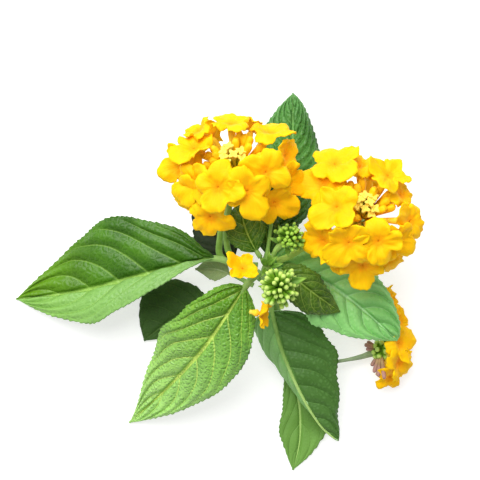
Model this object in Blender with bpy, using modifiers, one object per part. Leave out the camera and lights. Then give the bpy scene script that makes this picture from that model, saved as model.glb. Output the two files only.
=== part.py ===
"""A cut sprig of golden lantana lying on a flat surface.

Units are metres, +Z up. The origin is the middle of the sprig's outline, on the surface it lies on.
Lengths below are in millimetres and are turned into metres by MM when a mesh is made.
"""

import math

import bmesh
import bpy
from mathutils import Matrix, Vector

MM = 0.001
UP = Vector((0, 0, 1))

# Taken off every place below, to bring the middle of the outline to the origin
MIDDLE = Vector((0.2, 0.1, 0))

# Leaf blades
BLADE_THICKNESS = 0.7
BLADE_STEPS_ALONG = 16
BLADE_STEPS_ACROSS = 6
PETIOLE_HALF_WIDTH = 0.75
TIP_HALF_WIDTH = 0.35
DRAWN_OUT_TIP = 1.25
MARGIN_DROOP = 0.12

# Stalks
STALK_SIDES_RESOLUTION = 1
STEM_RADIUS_CUT = 1.7
STEM_RADIUS_TIP = 1.1
PEDUNCLE_RADIUS = 0.75
RECEPTACLE_RADIUS = 1.9

# Open florets: a narrow tube that carries a flat limb of four lobes
LOBES = 4
POINTS_PER_LOBE = 3
FLORET_SIDES = LOBES * POINTS_PER_LOBE
TUBE_FOOT_DISTANCE = 3.0
TUBE_FOOT_RADIUS = 0.45
THROAT_RADIUS = 0.95
THROAT_RIM_RADIUS = 0.8
PIT_RADIUS = 0.4
PIT_DEPTH = 0.9
SHARP_ANGLE = math.radians(40)
LIMB_RADIUS_MAX = 4.7
LIMB_THICKNESS = 0.5
NOTCH_SHARE = 0.62
LIP_SHARE = 1.1
CLEAR_ANGLE = math.radians(1.6)

# Bundles of closed buds: buds across, half angle that they spread over, distance of their feet from the
# receptacle's centre, length, and half the gap between two feet
INNER_BUDS = (3, math.radians(24), 2.9, 4.2, 0.1)
GREEN_BUDS = (5, math.radians(88), 1.8, 1.6, 0.08)
GREEN_HEAD_OFFSET = 0.9
BUD_BASE_SHARE = 0.8
BUD_TIP_SHARE = 1.35

# name: midrib points from the stem to the tip, share of it where the blade starts, then for the left and
# the right half: half width, degrees it rises at the base and at the tip, and how near the tip it is broadest
LEAVES = {
    "leaf_left": (
        [(11.0, 4.0, 19), (4.5, 5.5, 19), (-1.8, 6.2, 17.5), (-18.5, 1.8, 12), (-34.5, -2.2, 5.5), (-51.8, -4.5, 0.33)],
        0.17, (13.0, 90, 20, 0.85), (16.0, 8, 8, 0.78)),
    "leaf_front": (
        [(12.0, 3.0, 24), (9.0, 0.4, 25), (3.3, -8.3, 23), (-3.0, -17.3, 18), (-12.2, -27.5, 9.5), (-22.1, -37.0, 0.3)],
        0.10, (10.5, 10, 10, 0.72), (14.2, 8, 8, 0.6)),
    "leaf_lower_right": (
        [(14.9, -5.2, 13.0), (15.4, -8.2, 13.6), (17.6, -16.9, 12.2), (22.4, -28.1, 9.8), (27.7, -36.9, 7),
         (32.5, -41.3, 5)],
        0.06, (11.8, 6, 6, 0.9), (7.0, -62, -62, 0.7)),
    "leaf_under": (
        [(14.0, -9.6, 3.4), (15.8, -13.5, 2.7), (19.4, -21.5, 1.3), (22.4, -31.0, 0.7), (22.7, -41.4, 0.5),
         (20.9, -49.4, 0.35)],
        0.08, (8.5, 8, 8, 1.1), (6.2, 8, 8, 0.9)),
    "leaf_right": (
        [(16.4, 4.0, 18), (19.5, 4.5, 18), (27.7, 0.1, 17.5), (36.4, -5.9, 15.5), (47.1, -15.0, 12.5)],
        0.08, (12.5, 4, 4, 0.85), (13.0, 20, 20, 0.7)),
    "leaf_top": (
        [(14.4, 8.0, 20), (15.5, 12.0, 17.5), (18.8, 24.0, 11.5), (20.6, 36.0, 5.0), (20.9, 49.6, 0.33)],
        0.10, (9.0, 6, 6, 1.35), (7.4, 6, 6, 1.3)),
    "leaf_back_left": (
        [(14.6, -10.6, 6.4), (9.0, -9.6, 4.4), (1.0, -8.4, 3.0), (-8.0, -8.5, 2.2), (-18.2, -15.4, 1.0)],
        0.34, (4.0, 2, 2, 1.0), (8.5, 4, 4, 1.4)),
    "leaf_back_centre": (
        [(12.2, 0.9, 13.0), (8.6, 4.0, 11.2), (3.1, 9.4, 8), (-2.1, 17.5, 4.5), (-3.4, 24.0, 2.5)],
        0.32, (5.5, 5, 5, 0.7), (5.5, 5, 5, 0.7)),
    "leaf_young_up": (
        [(12.0, 6.8, 26), (9.9, 10.3, 27), (7.9, 15.4, 25), (7.4, 19.5, 22)],
        0.12, (4.8, 12, 12, 0.7), (4.8, 12, 12, 0.7)),
    "leaf_young_right": (
        [(16.2, 3.6, 25), (19.2, 2.6, 26), (25.4, -1.3, 24), (31.4, -6.9, 19)],
        0.10, (5.0, 12, 12, 0.7), (5.0, 12, 12, 0.7)),
    "leaf_small_pale": (
        [(12.2, -2.2, 14.6), (8.2, -0.4, 14.4), (4.5, 1.0, 13.4), (1.9, 1.4, 12), (-2.5, 1.0, 9)],
        0.40, (3.0, 20, 20, 0.7), (3.0, 20, 20, 0.7)),
}

# name: (x, y, z, radius) from the lower end to the upper end
STALKS = {
    "stem": [
        (24.2, -30.5, 3.9, STEM_RADIUS_CUT), (20.8, -21.7, 4.9, 1.6), (17.0, -10.5, 7.2, 1.5),
        (14.4, -1.8, 12, 1.4), (13.6, 2.6, 18, 1.3), (13.8, 4.8, 24, STEM_RADIUS_TIP),
    ],
    "peduncle_left": [
        (11.4, 4.6, 20.5, 0.8), (7.2, 5.2, 20.8, PEDUNCLE_RADIUS), (4.0, 8.5, 21, PEDUNCLE_RADIUS),
        (3.8, 15.5, 22.5, 0.9), (5.0, 24.2, 27.5, 1.2), (6.0, 27.5, 30, RECEPTACLE_RADIUS),
    ],
    "peduncle_right": [
        (16.2, 5.8, 21.5, 0.8), (19.4, 7.0, 22, PEDUNCLE_RADIUS), (24.8, 10.3, 23.4, PEDUNCLE_RADIUS),
        (31.2, 13.4, 25, 0.9), (34.8, 15.2, 26.7, 1.2), (36.8, 16.1, 28, RECEPTACLE_RADIUS),
    ],
    "peduncle_side": [
        (21.8, -18.0, 5.8, 0.7), (25.2, -21.4, 5, 0.6), (32.1, -20.6, 4.6, 0.6),
        (38.0, -19.5, 4.5, 0.8), (41.8, -18.2, 4.7, 1.2), (43.6, -17.4, 4.8, 1.5),
    ],
    "peduncle_bud_upper": [
        (15.0, 6.6, 25.6, 0.6), (15.8, 8.6, 28, 0.55), (17.8, 10.6, 29.4, 0.8), (18.7, 11.2, 30, 0.9),
    ],
    "peduncle_bud_lower": [
        (14.4, 3.2, 27, 0.6), (15.0, 1.6, 29, 0.55), (15.8, 0.3, 30.5, 0.8), (16.2, -0.2, 31.2, 0.9),
    ],
}

# Open florets of each head: (azimuth, elevation, reach of the limb from the receptacle)
HEADS = {
    "left": [
        (151, 23, 12.6), (96, 17, 12.0), (48, 19, 12.6), (126, 10, 12.0), (-4, 55, 12.4), (18, 10, 13.2),
        (-11, 13, 12.6), (224, 62, 12.0), (-61, 63, 12.4), (249, 27, 12.6), (177, 6, 13.2), (195, 33, 12.0),
        (-39, 20, 12.6), (222, 34, 12.2), (70, -22, 12.0), (125, -26, 12.0),
    ],
    "right": [
        (113, 10, 13.0), (141, 16, 12.6), (154, 57, 12.4), (203, 29, 12.2), (236, 56, 12.4), (274, 27, 12.6),
        (300, 60, 12.6), (329, 38, 12.4), (302, 12, 12.6), (357, 26, 12.8), (62, 18, 12.8), (32, 14, 12.4),
        (243, 16, 12.4), (88, 4, 13.0), (75, -30, 12.0), (125, -27, 12.0),
    ],
    "side": [(74, 2, 12.0), (46, 20, 9.6), (12, 32, 8.8), (-24, 24, 8.8), (-56, -10, 9.4)],
}
# (azimuth, elevation) of the bundle of closed buds in the middle of each open head
INNER_BUD_AIM = {"left": (80, 58), "right": (75, 52)}
# (azimuth, elevation) that each green head of closed buds faces
GREEN_HEADS = {"upper": (60, 62), "lower": (-60, 70)}

# Fallen florets that lie caught among the leaves: foot, direction of the tube, limb radius
FALLEN = {
    "floret_fallen_upper": ((7.4, 5.2, 30.5), (0.02, -0.28, 0.96), 4.0, 2.2),
    "floret_fallen_lower": ((9.6, -5.4, 27.6), (0.55, -0.62, -0.3), 3.0, 6.5),
}

PETAL = ("petal_gold", (1.0, 0.62, 0.01), 0.55)
BUD = ("bud_cream", (0.98, 0.72, 0.12), 0.55)
GREEN_BUD = ("bud_green", (0.42, 0.62, 0.12), 0.5)
LEAF = ("leaf_green", (0.12, 0.30, 0.04), 0.45)
STALK = ("stalk_green", (0.28, 0.42, 0.10), 0.55)


def clear_scene():
    for old in list(bpy.data.objects):
        bpy.data.objects.remove(old)


def make_material(name, colour, roughness):
    material = bpy.data.materials.get(name) or bpy.data.materials.new(name)
    material.use_nodes = True
    shader = material.node_tree.nodes["Principled BSDF"]
    shader.inputs["Base Color"].default_value = (*colour, 1)
    shader.inputs["Roughness"].default_value = roughness
    shader.inputs["Metallic"].default_value = 0.0
    return material


def add_object(name, data, finish, collection):
    thing = bpy.data.objects.new(name, data)
    data.materials.append(make_material(*finish))
    collection.objects.link(thing)
    return thing


def placed(point):
    return (Vector(point) - MIDDLE) * MM


def direction(azimuth, elevation):
    a, e = math.radians(azimuth), math.radians(elevation)
    return Vector((math.cos(a) * math.cos(e), math.sin(a) * math.cos(e), math.sin(e)))


def turned_to(axis):
    """Rotation that carries +Z to the axis."""
    return UP.rotation_difference(Vector(axis)).to_matrix().to_4x4()


def along(points, share):
    """Point and tangent at a share of a smooth line through the points."""
    points = [Vector(p) for p in points]
    lengths = [(b - a).length for a, b in zip(points, points[1:])]
    left = share * sum(lengths)
    i = 0
    while i < len(lengths) - 1 and left > lengths[i]:
        left -= lengths[i]
        i += 1
    t = left / lengths[i]
    p0 = points[max(i - 1, 0)]
    p1, p2 = points[i], points[i + 1]
    p3 = points[min(i + 2, len(points) - 1)]
    m1, m2 = (p2 - p0) / 2, (p3 - p1) / 2
    place = (
        p1 * (2 * t**3 - 3 * t**2 + 1) + m1 * (t**3 - 2 * t**2 + t)
        + p2 * (3 * t**2 - 2 * t**3) + m2 * (t**3 - t**2)
    )
    slope = p1 * (6 * t**2 - 6 * t) + m1 * (3 * t**2 - 4 * t + 1) + p2 * (6 * t - 6 * t**2) + m2 * (3 * t**2 - 2 * t)
    return place, slope.normalized()


def half_width(t, widest, power):
    """Half the blade's width at t of its length; a higher power moves the broadest place toward the tip."""
    narrowest = TIP_HALF_WIDTH if t > 0.5 else PETIOLE_HALF_WIDTH
    shape = math.sin(math.pi * t**power)
    if t**power > 0.5:
        shape **= DRAWN_OUT_TIP
    return max(narrowest, widest * shape)


def blade_point(shape, share, across):
    """A point of the blade. across runs from -1 at the left margin to 1 at the right one."""
    midrib, blade_start, left_half, right_half = shape
    place, tangent = along(midrib, share)
    normal = (UP - tangent * UP.dot(tangent)).normalized()
    right = tangent.cross(normal)
    out = right if across > 0 else -right
    widest, base_rise, tip_rise, power = right_half if across > 0 else left_half
    t = max(0, (share - blade_start) / (1 - blade_start))
    width = half_width(t, widest, power) * abs(across)
    rise = math.radians(base_rise + (tip_rise - base_rise) * t)
    droop = MARGIN_DROOP * width * abs(across)
    return place + out * width * math.cos(rise) + normal * (width * math.sin(rise) - droop)


def make_leaf(name, shape, collection):
    mesh = bpy.data.meshes.new(name)
    bm = bmesh.new()
    bmesh.ops.create_grid(bm, x_segments=BLADE_STEPS_ALONG, y_segments=BLADE_STEPS_ACROSS, size=1)
    for v in bm.verts:
        share = (v.co.x + 1) / 2
        v.co = placed(blade_point(shape, share, v.co.y))
    bm.normal_update()
    bm.to_mesh(mesh)
    bm.free()
    mesh.shade_smooth()
    leaf = add_object(name, mesh, LEAF, collection)
    wall = leaf.modifiers.new("blade thickness", "SOLIDIFY")
    wall.thickness = BLADE_THICKNESS * MM
    wall.offset = 0
    return leaf


def make_stalk(name, points, collection):
    curve = bpy.data.curves.new(name, "CURVE")
    curve.dimensions = "3D"
    curve.bevel_depth = MM
    curve.bevel_resolution = STALK_SIDES_RESOLUTION
    curve.use_fill_caps = True
    spline = curve.splines.new("POLY")
    steps = 3 * (len(points) - 1)
    spline.points.add(steps)
    for i, point in enumerate(spline.points):
        place, _ = along([p[:3] for p in points], i / steps)
        near = i / 3
        low = points[int(near)]
        high = points[min(int(near) + 1, len(points) - 1)]
        point.co = (*placed(place), 1)
        point.radius = low[3] + (high[3] - low[3]) * (near - int(near))
    return add_object(name, curve, STALK, collection)


def lobed(radius, angle):
    """The edge of a limb at an angle: four lobes with notches between, the first lobe a larger lip."""
    point = round(angle / (2 * math.pi) * FLORET_SIDES) % FLORET_SIDES
    radius *= LIP_SHARE if point in range(1, POINTS_PER_LOBE) else 1 / LIP_SHARE
    return radius * NOTCH_SHARE if point % POINTS_PER_LOBE == 0 else radius


def floret_mesh(name, foot, throat, limb_radius):
    """A tube from foot to throat along Z that opens into a lobed limb with a small pit in its middle."""
    bm = bmesh.new()
    base = Matrix.Translation((0, 0, foot))
    bmesh.ops.create_circle(bm, cap_ends=True, segments=FLORET_SIDES, radius=TUBE_FOOT_RADIUS, matrix=base)
    rim = bm.edges[:]
    sections = [
        (THROAT_RADIUS, throat - LIMB_THICKNESS, False),
        (limb_radius, throat - LIMB_THICKNESS / 2, True),
        (limb_radius, throat + LIMB_THICKNESS / 2, True),
        (THROAT_RIM_RADIUS, throat, False),
        (PIT_RADIUS, throat - PIT_DEPTH, False),
    ]
    for radius, height, has_lobes in sections:
        made = bmesh.ops.extrude_edge_only(bm, edges=rim)["geom"]
        rim = [e for e in made if isinstance(e, bmesh.types.BMEdge)]
        for v in (v for v in made if isinstance(v, bmesh.types.BMVert)):
            angle = math.atan2(v.co.y, v.co.x)
            reach = lobed(radius, angle) if has_lobes else radius
            v.co = (reach * math.cos(angle), reach * math.sin(angle), height)
    bmesh.ops.edgeloop_fill(bm, edges=rim)
    bmesh.ops.recalc_face_normals(bm, faces=bm.faces)
    bmesh.ops.scale(bm, vec=(MM, MM, MM), verts=bm.verts)
    mesh = bpy.data.meshes.new(name)
    bm.to_mesh(mesh)
    bm.free()
    mesh.shade_smooth()
    mesh.set_sharp_from_angle(angle=SHARP_ANGLE)
    return mesh


def limb_radii(florets):
    """How far each limb may spread so that it stays clear of its neighbours."""
    ways = [direction(a, e) for a, e, _ in florets]
    radii = []
    for i, way in enumerate(ways):
        nearest = min(way.angle(other) for j, other in enumerate(ways) if j != i)
        room = florets[i][2] * math.tan(nearest / 2 - CLEAR_ANGLE)
        radii.append(min(LIMB_RADIUS_MAX, room) / LIP_SHARE)
    return radii


def make_head(head, collection):
    """The open florets of one head, around the receptacle that ends its peduncle."""
    centre = placed(STALKS[f"peduncle_{head}"][-1][:3])
    florets = HEADS[head]
    for number, ((azimuth, elevation, reach), limb) in enumerate(zip(florets, limb_radii(florets)), 1):
        name = f"floret_{head}_{number:02d}"
        floret = add_object(name, floret_mesh(name, TUBE_FOOT_DISTANCE, reach, limb), PETAL, collection)
        floret.matrix_world = Matrix.Translation(centre) @ turned_to(direction(azimuth, elevation))


def bud_bundle(name, centre, aim, shape, finish, collection):
    """Closed buds side by side on a domed base, facing an aim direction, as one body."""
    across, spread, foot, length, gap = shape
    bm = bmesh.new()
    bmesh.ops.create_grid(bm, x_segments=across, y_segments=across, size=1)
    for v in bm.verts:
        polar = spread * max(abs(v.co.x), abs(v.co.y))
        turn = math.atan2(v.co.y, v.co.x)
        v.co = Vector((math.sin(polar) * math.cos(turn), math.sin(polar) * math.sin(turn), math.cos(polar))) * foot
    feet = bm.faces[:]
    edge = [e for e in bm.edges if e.is_boundary]
    back = bmesh.ops.extrude_edge_only(bm, edges=edge)["geom"]
    for v in (v for v in back if isinstance(v, bmesh.types.BMVert)):
        v.co *= BUD_BASE_SHARE
    bmesh.ops.edgeloop_fill(bm, edges=[e for e in back if isinstance(e, bmesh.types.BMEdge)])
    bmesh.ops.recalc_face_normals(bm, faces=bm.faces)
    bmesh.ops.inset_individual(bm, faces=feet, thickness=gap)
    for tip in bmesh.ops.extrude_discrete_faces(bm, faces=feet)["faces"]:
        middle = tip.calc_center_median()
        for v in tip.verts:
            v.co = middle + (v.co - middle) * BUD_TIP_SHARE + middle.normalized() * length
    bmesh.ops.transform(bm, matrix=turned_to(aim), verts=bm.verts)
    bmesh.ops.scale(bm, vec=(MM, MM, MM), verts=bm.verts)
    bmesh.ops.translate(bm, vec=placed(centre), verts=bm.verts)
    mesh = bpy.data.meshes.new(name)
    bm.to_mesh(mesh)
    bm.free()
    return add_object(name, mesh, finish, collection)


def make_inner_buds(head, collection):
    centre = STALKS[f"peduncle_{head}"][-1][:3]
    bud_bundle(f"buds_{head}", centre, direction(*INNER_BUD_AIM[head]), INNER_BUDS, BUD, collection)


def make_green_head(head, collection):
    aim = direction(*GREEN_HEADS[head])
    centre = Vector(STALKS[f"peduncle_bud_{head}"][-1][:3]) + aim * GREEN_HEAD_OFFSET
    bud_bundle(f"bud_head_{head}", centre, aim, GREEN_BUDS, GREEN_BUD, collection)


def make_fallen(name, collection):
    foot, axis, limb, length = FALLEN[name]
    floret = add_object(name, floret_mesh(name, 0, length, limb), PETAL, collection)
    floret.matrix_world = Matrix.Translation(placed(foot)) @ turned_to(axis)


def main():
    clear_scene()
    sprig = bpy.data.collections.new("lantana_sprig")
    bpy.context.scene.collection.children.link(sprig)
    for name, points in STALKS.items():
        make_stalk(name, points, sprig)
    for name, shape in LEAVES.items():
        make_leaf(name, shape, sprig)
    for head in HEADS:
        make_head(head, sprig)
    for head in INNER_BUD_AIM:
        make_inner_buds(head, sprig)
    for head in GREEN_HEADS:
        make_green_head(head, sprig)
    for name in FALLEN:
        make_fallen(name, sprig)


main()
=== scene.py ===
"""A cut sprig of golden lantana laid on a pale surface, seen from straight above.

Lengths and places are in millimetres, in the frame's own directions. MM turns them into metres.
Ways are given as azimuth and elevation in degrees, and colours as screen colours from 0 to 255.
"""

import math
import random

import bmesh
import bpy
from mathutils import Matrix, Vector, noise


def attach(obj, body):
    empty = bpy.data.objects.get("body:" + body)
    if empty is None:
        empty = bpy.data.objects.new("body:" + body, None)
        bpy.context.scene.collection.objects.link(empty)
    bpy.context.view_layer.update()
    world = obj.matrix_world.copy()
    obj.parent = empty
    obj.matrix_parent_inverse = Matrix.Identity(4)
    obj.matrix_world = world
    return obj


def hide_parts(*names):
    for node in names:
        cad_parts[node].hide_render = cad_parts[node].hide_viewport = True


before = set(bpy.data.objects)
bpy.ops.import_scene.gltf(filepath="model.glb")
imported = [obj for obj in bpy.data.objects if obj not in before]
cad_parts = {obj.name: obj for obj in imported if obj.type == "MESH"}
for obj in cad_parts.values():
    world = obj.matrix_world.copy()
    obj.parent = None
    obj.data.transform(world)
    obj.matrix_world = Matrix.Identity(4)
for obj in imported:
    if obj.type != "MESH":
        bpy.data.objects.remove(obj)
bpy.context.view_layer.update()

MM = 0.001
UP = Vector((0, 0, 1))
# Taken off the sprig's places, to bring the middle of its outline to the origin
MIDDLE = Vector((0.2, 0.1, 0))
GOLDEN_ANGLE = math.pi * (3 - math.sqrt(5))

# Camera: straight down from this height, over this point, taking in this width of the surface
CAMERA_HEIGHT = 400.0
VIEW_CENTRE = (6.8, 10.9)
VIEW_WIDTH = 126.24
SENSOR_WIDTH = 36.0

# Floor and light; the floor glows a little, so that the surface stays nearly white
FLOOR_HEIGHT = -0.05
FLOOR_HALF_SIZE = 1500.0
FLOOR_SHADE = 0.55
FLOOR_GLOW = 0.6
SKY_STRENGTH = 0.45
KEY_PLACE = (-160, 370, 600)
KEY_SIZE = 600.0
KEY_WATTS = 7.6

# Leaf blades
BLADE_THICKNESS = 0.32
GAP_OVER_FLOOR = 0.04
MARGIN_DROOP = 0.12
TIP_HALF_WIDTH = 0.3
OUTLINE_UNEVENNESS = 0.09
TOOTH_DEPTH = 0.42
TOOTH_SPACING = 1.5
# Shares of a tooth's length over which it rises and falls
TOOTH_RISE, TOOTH_FALL = 0.78, 0.22
VEIN_CURL = 1.1
MIDRIB_GROOVE = 0.35

# Petioles, which run on below the blades as their midribs
PETIOLE_STEPS = 36
PETIOLE_SIDES = 10
PETIOLE_RIBS = 0.06
PETIOLE_END = 0.97
PETIOLE_RADIUS = 0.95
MIDRIB_RADIUS = 0.16
MIDRIB_SINK = 0.62
# A leaf whose left half is narrower than this has a petiole of this share of the radius
NARROW_LEAF = 6.0
NARROW_SHARE = 0.7
# The leaf whose right half hangs down from the midrib, which stands out along the fold
FOLDED_LEAF = "leaf_lower_right"
FOLD_SINK = 0.1
FOLD_RADIUS = 0.62
FOLD_TAPER = 0.4
FOLD_END_RADIUS = 0.2

# Stalks
STALK_STEPS = 48
STALK_SIDES = 16
STALK_RIBS = 0.05
STEM_RIBS = 0.09

# Florets
FLORET_SIDES = 48
PETAL_THICKNESS = 0.16
TUBE_FOOT_DISTANCE = 1.9
TUBE_FOOT_RADIUS = 0.42
TUBE_STEPS = 8
TUBE_SHARE = 0.42
LIMB_STEPS = 12
LIP_DROOP = 60
# The margin: depth of the notches between lobes, an exponent that is lower for squarer lobes, and fraying
NOTCH_DEPTH = 0.52
LOBE_SQUARENESS = 0.45
FRAY = 0.11
# Heights over the throat: how the limb is cupped, how its notches sink, and how it waves and creases
CUP_RISE = 2.3
CUP_FALL = 1.2
NOTCH_SINK = 0.8
RUFFLE_HEIGHT = 0.34
WAVE_HEIGHT = 1.5
CREASE_HEIGHT = 1.0
# Radius, height over the throat and share of the floret's colour run, from inside the tube to the limb
THROAT_PROFILE = ((0.06, -0.02, 0.46), (0.3, 0.06, 0.47), (0.62, 0.3, 0.49), (0.98, 0.24, 0.51))
# The lip, a side lobe, the upper lobe, the other side lobe: degrees each takes, share of the limb's radius
LOBES = ((104, 1.06), (82, 0.95), (94, 1.0), (80, 0.93))

# Leaves. name: midrib points from the stem to the tip, share where the blade starts, then for the left and
# the right half: half width, degrees it rises at the base and at the tip, how near the tip it is broadest,
# and how drawn out it is toward the base and toward the tip
LEAVES = {
    "leaf_left": (
        [(11, 4, 19), (4.5, 5.5, 19), (-1.8, 6.2, 17.5), (-18.5, 1.8, 12), (-34.5, -2.2, 5.5),
         (-51.8, -4.5, 0.5)],
        0.17, (10, 80, 18, 1.1, 1, 1.25), (16, 8, 8, 0.84, 1, 1.25)),
    "leaf_front": (
        [(12, 3, 24), (9, 0.4, 25), (3.3, -8.3, 23), (-3, -17.3, 18), (-12.2, -27.5, 9.5), (-22.1, -37, 0.5)],
        0.1, (10.5, 10, 10, 0.72, 0.9, 1.12), (10.6, 8, 8, 0.8, 0.6, 1.5)),
    "leaf_lower_right": (
        [(14.9, -5.2, 13), (15.4, -8.2, 13.6), (17.6, -16.9, 12.2), (22.4, -28.1, 9.8), (27.7, -36.9, 7),
         (32.5, -41.3, 5)],
        0.06, (12.2, 6, 6, 0.7, 0.5, 0.8), (8.8, -34, -98, 0.55, 0.4, 2)),
    "leaf_under": (
        [(14, -9.6, 3.4), (15.8, -13.5, 2.7), (19.4, -21.5, 1.6), (22.4, -31, 1.1), (22.7, -41.4, 0.8),
         (20.9, -49.4, 0.5)],
        0.08, (8.5, 8, 8, 1.1, 1, 1.25), (5.3, 8, 8, 1.9, 1, 1.25)),
    "leaf_right": (
        [(15.4, 4.6, 18), (19.5, 4.9, 18), (27.7, 0.8, 17.5), (36.4, -5.2, 15.5), (47.1, -14.6, 12.5)],
        0.02, (9.8, 4, 4, 0.8, 0.55, 0.69), (10.2, 20, 20, 0.9, 0.9, 1.12)),
    "leaf_top": (
        [(14.4, 8, 20), (15.5, 12, 17.5), (18.8, 24, 11.5), (20.6, 36, 5), (20.9, 49.6, 0.5)],
        0.1, (9, 6, 6, 1.35, 1, 1.25), (8, 6, 6, 0.85, 0.7, 0.88)),
    "leaf_back_left": (
        [(14.6, -10.6, 6.4), (9, -9.6, 4.4), (1, -8.4, 3), (-8, -8.5, 2.2), (-18.2, -15.4, 1)],
        0.4, (4, 2, 2, 1, 1, 1.25), (10.4, 4, 4, 1.2, 0.9, 1.12)),
    "leaf_back_centre": (
        [(12.2, 0.9, 13), (8.6, 4, 11.2), (3.1, 9.4, 8), (-2.1, 17.5, 4.5), (-3.4, 24, 2.5)],
        0.32, (5.5, 5, 5, 0.7, 1, 1.25), (5.5, 5, 5, 0.7, 1, 1.25)),
    "leaf_young_up": (
        [(12, 6.8, 26), (9.9, 10.3, 27), (7.9, 15.4, 25), (7.2, 21.6, 21)],
        0.12, (4.8, 12, 12, 0.7, 1, 1.25), (4.8, 12, 12, 0.7, 1, 1.25)),
    "leaf_young_right": (
        [(16.2, 3.6, 25), (19.2, 2.4, 26), (25.2, -2.1, 24), (32, -7, 19)],
        0.06, (4.2, 12, 12, 0.62, 0.85, 1.06), (5.3, 12, 12, 0.85, 0.85, 1.06)),
    "leaf_young_behind": (
        [(13.2, 6, 22.5), (13.9, 10, 22.5), (12.8, 17, 20.5), (11.4, 22, 18)],
        0.12, (3.4, 12, 12, 0.7, 1, 1.25), (3.4, 12, 12, 0.7, 1, 1.25)),
    "leaf_small_pale": (
        [(10.4, -0.5, 15), (6.2, 1.6, 14.4), (2.5, 3.2, 13.4), (-0.1, 3.7, 12), (-4.5, 3.5, 9)],
        0.4, (3, 20, 20, 0.7, 1, 1.25), (3, 20, 20, 0.7, 1, 1.25)),
}
# Steps along and across, lateral veins, relief of the blade between them, waviness of the margin, and how far
# the veins reach toward the tip
LEAF_DETAIL = {
    "leaf_left": (260, 52, 6.5, 0.9, 0.5, 0.2),
    "leaf_front": (260, 52, 7, 0.75, 0.35, 0.19),
    "leaf_lower_right": (220, 44, 8, 0.6, 0.4, 0.16),
    "leaf_under": (220, 40, 6, 0.22, 0.3, 0.17),
    "leaf_right": (200, 48, 7.5, 1.15, 0.4, 0.15),
    "leaf_top": (260, 48, 13, 1, 0.5, 0.14),
    "leaf_back_left": (140, 36, 6, 0.3, 0.2, 0.17),
    "leaf_back_centre": (120, 28, 6, 0.3, 0.2, 0.17),
    "leaf_young_up": (110, 30, 6.5, 0.35, 0.15, 0.15),
    "leaf_young_right": (110, 30, 6.5, 0.35, 0.15, 0.15),
    "leaf_young_behind": (80, 24, 6.5, 0.25, 0.1, 0.15),
    "leaf_small_pale": (80, 20, 5, 0.15, 0.1, 0.15),
}
# How the upper faces look: blade, its lighter patches and the veins, then what differs from the plain leaf.
# veins and net are how strongly they show, blisters how many there are to the metre, and height how high they
# are. tip is the colour from tip_start to the tip, else the lighter colour: the tip's own tint, except on
# leaf_right, whose base is painted lighter, a painted light, and leaf_top, whose base is painted darker, a
# painted shade.
# left is painted light on the left half: a painted sheen on leaf_left and leaf_front, and a painted shade on
# leaf_right and leaf_lower_right
PLAIN_LEAF = dict(
    veins=0.4, net=0.1, blisters=900, height=0.2, roughness=0.6, tip_start=0.55,
    left=(150, 200, 120), half_painted_light_share=0)
YOUNG_LEAF = dict(veins=0.85, net=0.3, blisters=640, height=0.3, roughness=0.4)
LEAF_LOOKS = {
    # leaf_left: a painted sheen on the left half
    "leaf_left": ((42, 86, 4), (66, 116, 12), (142, 182, 80), dict(
        tip=(104, 152, 18), tip_start=0.45, left=(150, 200, 110), half_painted_light_share=0.55, veins=0.45, blisters=700,
        height=0.25, roughness=0.34)),
    # leaf_front: a painted sheen on the left half
    "leaf_front": ((62, 112, 8), (92, 146, 22), (196, 222, 104), dict(
        tip=(186, 238, 132), tip_start=0.02, left=(130, 200, 100), half_painted_light_share=0.15, veins=0.65, net=0.14,
        height=0.55, roughness=0.28)),
    # leaf_lower_right: a painted shade on the left half
    "leaf_lower_right": ((112, 164, 84), (132, 184, 104), (96, 144, 64), dict(
        left=(46, 88, 8), half_painted_light_share=0.85, veins=0.35, net=0.08, height=0.15, roughness=0.42)),
    "leaf_under": ((90, 134, 48), (108, 154, 66), (130, 174, 84), dict(
        veins=0.2, net=0.05, height=0.08, roughness=0.52)),
    # leaf_right: painted light near the stem, where the heads cast their shadow, and a painted shade on the
    # left half
    "leaf_right": ((144, 210, 118), (176, 232, 152), (180, 228, 164), dict(
        tip=(126, 196, 106), tip_start=0.05, left=(120, 188, 100), half_painted_light_share=0.4, veins=0.35, net=0.06,
        blisters=800, roughness=0.24)),
    # leaf_top: a painted shade at the base, which is darker than toward the tip
    "leaf_top": ((42, 88, 22), (76, 130, 52), (120, 172, 92), dict(
        tip=(98, 156, 84), tip_start=0.66, veins=0.35, net=0.12, blisters=700, height=0.6, roughness=0.27)),
    "leaf_back_left": ((50, 80, 26), (64, 98, 38), (80, 112, 50), {}),
    # leaf_back_centre is painted nearly black: a painted shade for a leaf deep in the shade behind the
    # peduncles
    "leaf_back_centre": ((8, 18, 6), (30, 46, 18), (40, 60, 26), {}),
    "leaf_young_up": ((54, 96, 2), (78, 120, 10), (150, 184, 76), YOUNG_LEAF),
    "leaf_young_right": ((52, 86, 4), (74, 110, 14), (140, 170, 70), YOUNG_LEAF),
    "leaf_young_behind": ((42, 80, 4), (60, 100, 12), (110, 146, 50), YOUNG_LEAF),
    "leaf_small_pale": ((126, 146, 92), (152, 170, 118), (170, 186, 140), dict(veins=0.5)),
}

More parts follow.
